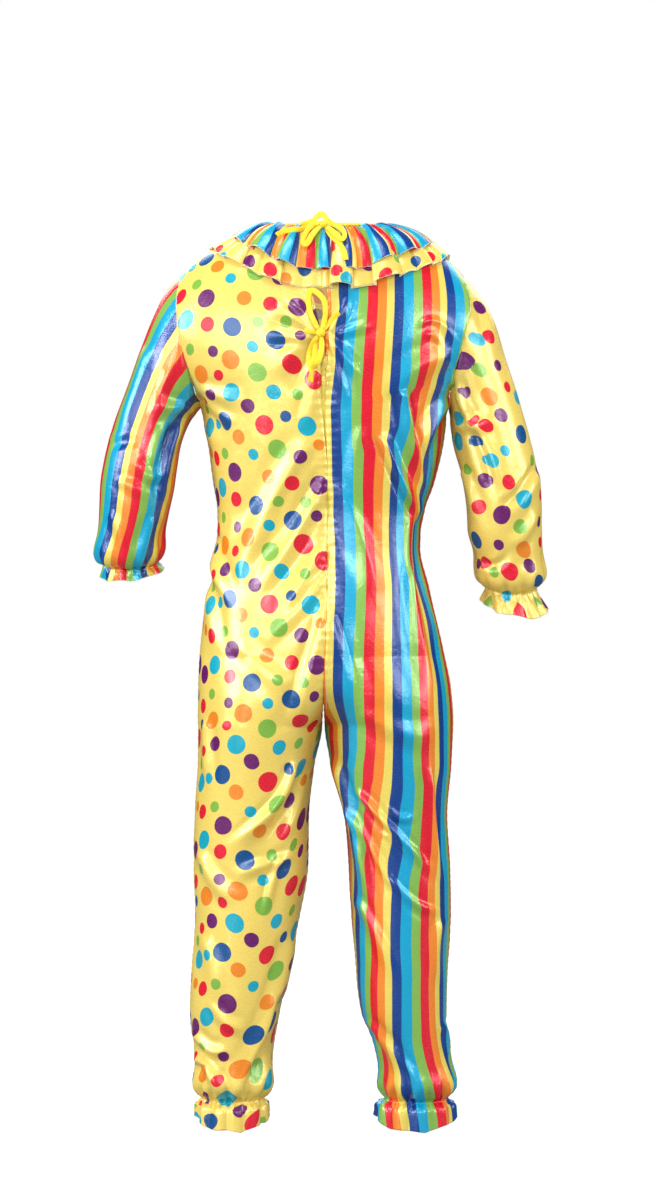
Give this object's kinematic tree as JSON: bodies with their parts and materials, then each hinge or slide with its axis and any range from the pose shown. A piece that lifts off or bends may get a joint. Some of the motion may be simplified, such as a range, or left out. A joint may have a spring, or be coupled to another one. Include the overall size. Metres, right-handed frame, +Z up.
{
  "type": "clown jumpsuit",
  "caption": "Clown jumpsuit in its worn, hollow shape: one half dotted, one striped, with a two-tier ruffled collar, gathered cuffs and ankles, and a back opening tied with bows.",
  "frame": {"origin": "middle of the neck opening, 7 mm below the neckline at the centre back", "axes": "+Z up along the wearer's body, +X to the wearer's right, +Y to the wearer's front"},
  "size_m": [0.7669, 0.297, 1.5479],
  "materials": {
    "dotted_satin": "yellow satin with round dots in six colours",
    "striped_satin": "satin with lengthwise stripes in six colours",
    "yellow_tape": "matte folded tape"
  },
  "bodies": {
    "root": {"back_left": "dotted_satin", "back_right": "striped_satin", "front_left": "dotted_satin", "front_right": "striped_satin", "sleeve_left": "striped_satin", "sleeve_right": "dotted_satin", "collar_upper": "striped_satin", "collar_lower": "dotted_satin", "neck_binding": "yellow_tape", "neck_knot": "yellow_tape", "neck_crossing": "yellow_tape", "neck_tail_left": "yellow_tape", "neck_tail_right": "yellow_tape", "neck_loop_left": "yellow_tape", "neck_loop_right": "yellow_tape", "back_knot": "yellow_tape", "back_strand_left": "yellow_tape", "back_strand_right": "yellow_tape", "back_tail": "yellow_tape", "back_loop_upper": "yellow_tape", "back_loop_lower": "yellow_tape"}
  },
  "joints": []
}
